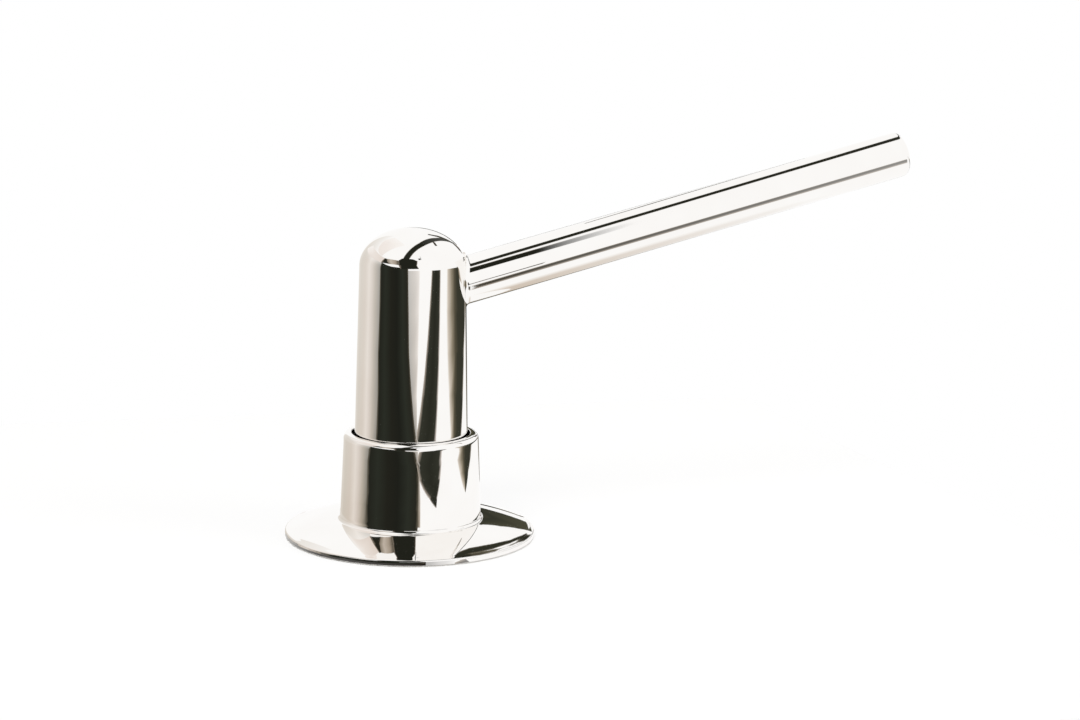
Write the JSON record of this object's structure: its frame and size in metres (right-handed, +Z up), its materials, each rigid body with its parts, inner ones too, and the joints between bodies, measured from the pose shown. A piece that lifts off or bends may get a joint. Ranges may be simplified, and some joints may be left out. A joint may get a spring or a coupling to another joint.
{
  "type": "sink soap dispenser",
  "caption": "Deck-mounted sink soap dispenser with a domed press head, a long rising spout, a round flange with a straight collar, and a pump and bottle below the deck.",
  "frame": {"origin": "on the dispenser's axis, on the top face of the sink deck, at the centre of the deck hole", "axes": "+Z up along the dispenser's axis, +X the way the spout points, +Y to the left of the spout seen from above"},
  "size_m": [0.1593, 0.064, 0.2768],
  "materials": {
    "polished_nickel": "mirror polished warm nickel plate on brass",
    "threaded_brass": "plain machined brass",
    "stainless_steel": "bright",
    "black_rubber": "matte",
    "natural_resin": "natural moulded resin",
    "bottle_resin": "translucent blow-moulded polyethylene",
    "tube_resin": "milky extruded polyethylene"
  },
  "bodies": {
    "mount": {"escutcheon": "polished_nickel", "base_gasket": "black_rubber", "shank": "threaded_brass"},
    "clamp": {"clamp_rubber_washer": "black_rubber", "clamp_steel_washer": "stainless_steel"},
    "nut": {"lock_nut": "threaded_brass"},
    "bottle_seal": {"bottle_gasket": "black_rubber"},
    "bottle": {"bottle": "bottle_resin"},
    "pump": {"pump_closure": "natural_resin", "closure_o_ring": "black_rubber", "pump_barrel": "natural_resin", "ball_cage": "natural_resin", "return_spring": "stainless_steel", "dip_tube": "tube_resin"},
    "inlet_ball": {"inlet_ball": "stainless_steel"},
    "plunger": {"piston": "tube_resin", "stem": "natural_resin"},
    "outlet_ball": {"outlet_ball": "stainless_steel"},
    "head": {"head_shell": "polished_nickel", "head_core": "natural_resin", "spout_tube": "polished_nickel", "feed_tube": "tube_resin", "nozzle_block": "natural_resin", "outlet_insert": "polished_nickel"}
  },
  "joints": [
    {"name": "clamp_travel", "type": "slide", "parent": "mount", "child": "clamp", "axis": [0, 0, 1], "range_m": [-0.0085, 0.017]},
    {"name": "nut_turn", "type": "hinge", "parent": "clamp", "child": "nut", "pos_m": [0, 0, -0.028], "axis": [0, 0, 1], "range_deg": [-1530, 3060]},
    {"name": "bottle_travel", "type": "slide", "parent": "mount", "child": "bottle_seal", "axis": [0, 0, 1], "range_m": [-0.012, 0]},
    {"name": "bottle_turn", "type": "hinge", "parent": "bottle_seal", "child": "bottle", "pos_m": [0, 0, -0.05], "axis": [0, 0, 1], "range_deg": [-1440, 0]},
    {"name": "pump_lift", "type": "slide", "parent": "mount", "child": "pump", "axis": [0, 0, 1], "range_m": [0, 0.2]},
    {"name": "inlet_ball_lift", "type": "slide", "parent": "pump", "child": "inlet_ball", "axis": [0, 0, 1], "range_m": [0, 0.0015]},
    {"name": "head_press", "type": "slide", "parent": "pump", "child": "plunger", "axis": [0, 0, 1], "range_m": [-0.012, 0], "stiffness_N_per_m": 450, "springref_m": 0.012, "deforming": ["return_spring"]},
    {"name": "outlet_ball_lift", "type": "slide", "parent": "plunger", "child": "outlet_ball", "axis": [0, 0, 1], "range_m": [0, 0.0015]},
    {"name": "spout_swivel", "type": "hinge", "parent": "plunger", "child": "head", "pos_m": [0, 0, 0.04], "axis": [0, 0, 1], "continuous": true}
  ],
  "couplings": [
    {"joint": "clamp_travel", "follows": "nut_turn", "m_per_rad": 0.00031831},
    {"joint": "bottle_travel", "follows": "bottle_turn", "m_per_rad": 0.00047746}
  ]
}
